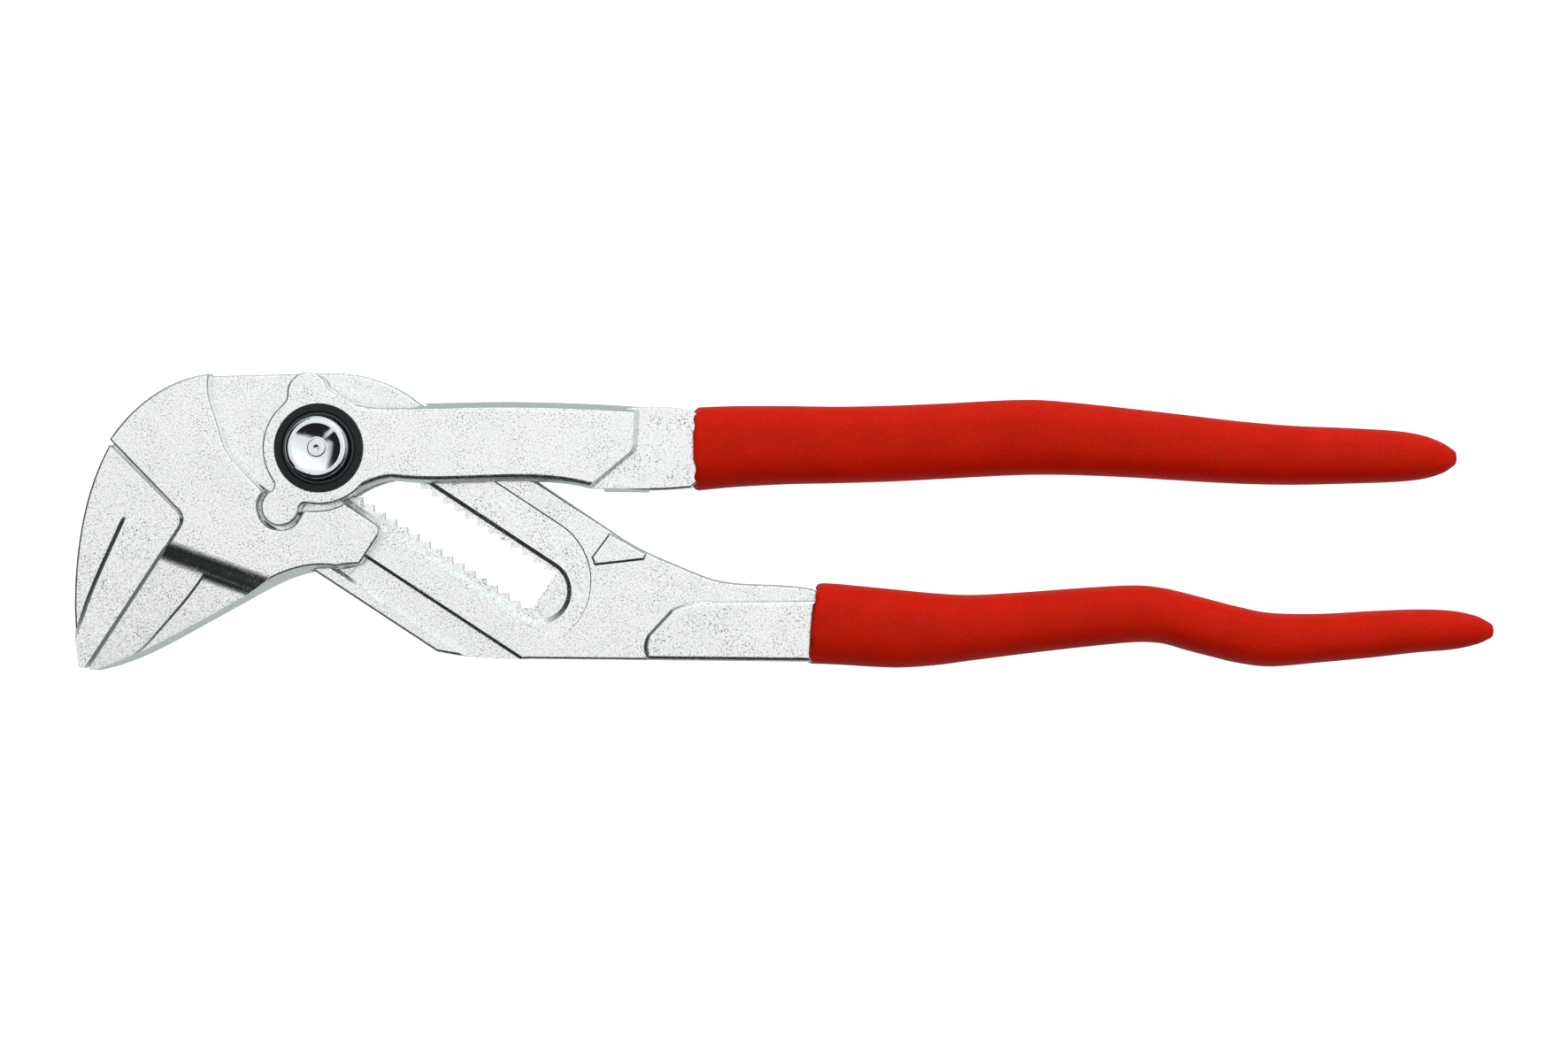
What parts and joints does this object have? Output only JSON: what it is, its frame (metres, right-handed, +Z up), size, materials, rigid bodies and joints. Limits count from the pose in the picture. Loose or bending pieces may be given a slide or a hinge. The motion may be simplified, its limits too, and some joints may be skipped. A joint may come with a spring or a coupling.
{
  "type": "pliers wrench",
  "caption": "Pliers wrench with smooth parallel jaws: a button sets the sliding jaw along a toothed slot, and a lever drives it. Forged steel with dipped grips.",
  "frame": {"origin": "middle of the whole tool's box, on the plane that its rear faces lie on", "axes": "+X from the jaws towards the handle ends, +Y towards the moving lever's side, +Z up, out of the push button's side"},
  "size_m": [0.2524, 0.0529, 0.0176],
  "materials": {
    "forged_steel": "drop forged, fine-blasted and bright zinc plated, satin",
    "red_grip": "dipped plastic, matte with a fine grain",
    "black_bush": "black oxide, turned",
    "spring_steel": "oiled spring steel",
    "pin_steel": "turned and ground",
    "seal_rubber": "matte",
    "button_chrome": "turned and polished"
  },
  "bodies": {
    "body": {"slotted_body": "forged_steel", "lower_grip": "red_grip"},
    "pivot_carrier": {"front_guide_bush": "black_bush", "rear_guide_bush": "black_bush", "front_snap_ring": "spring_steel", "rear_snap_ring": "spring_steel", "rear_cap": "pin_steel", "button_seal": "seal_rubber", "button_spring": "spring_steel"},
    "lever": {"lever": "forged_steel", "upper_grip": "red_grip"},
    "sliding_jaw": {"sliding_jaw": "forged_steel"},
    "latch": {"latch_pin": "pin_steel", "push_button": "button_chrome", "button_rivet": "pin_steel"}
  },
  "joints": [
    {"name": "jaw_adjust", "type": "slide", "parent": "body", "child": "pivot_carrier", "axis": [0.8358, -0.549, 0], "range_m": [0, 0.0288]},
    {"name": "lever_squeeze", "type": "hinge", "parent": "pivot_carrier", "child": "lever", "pos_m": [-0.08283, 0.01304, 0.0072], "axis": [0, 0, 1], "range_deg": [0, 24]},
    {"name": "jaw_slide", "type": "slide", "parent": "pivot_carrier", "child": "sliding_jaw", "axis": [0.8358, -0.549, 0], "range_m": [0, 0.0053]},
    {"name": "button_press", "type": "slide", "parent": "pivot_carrier", "child": "latch", "axis": [0, 0, -1], "range_m": [0, 0.0021], "stiffness_N_per_m": 1500, "springref_m": -0.001, "deforming": ["button_spring"]}
  ],
  "couplings": [
    {"joint": "jaw_slide", "follows": "lever_squeeze", "m_per_rad": 0.0125}
  ]
}
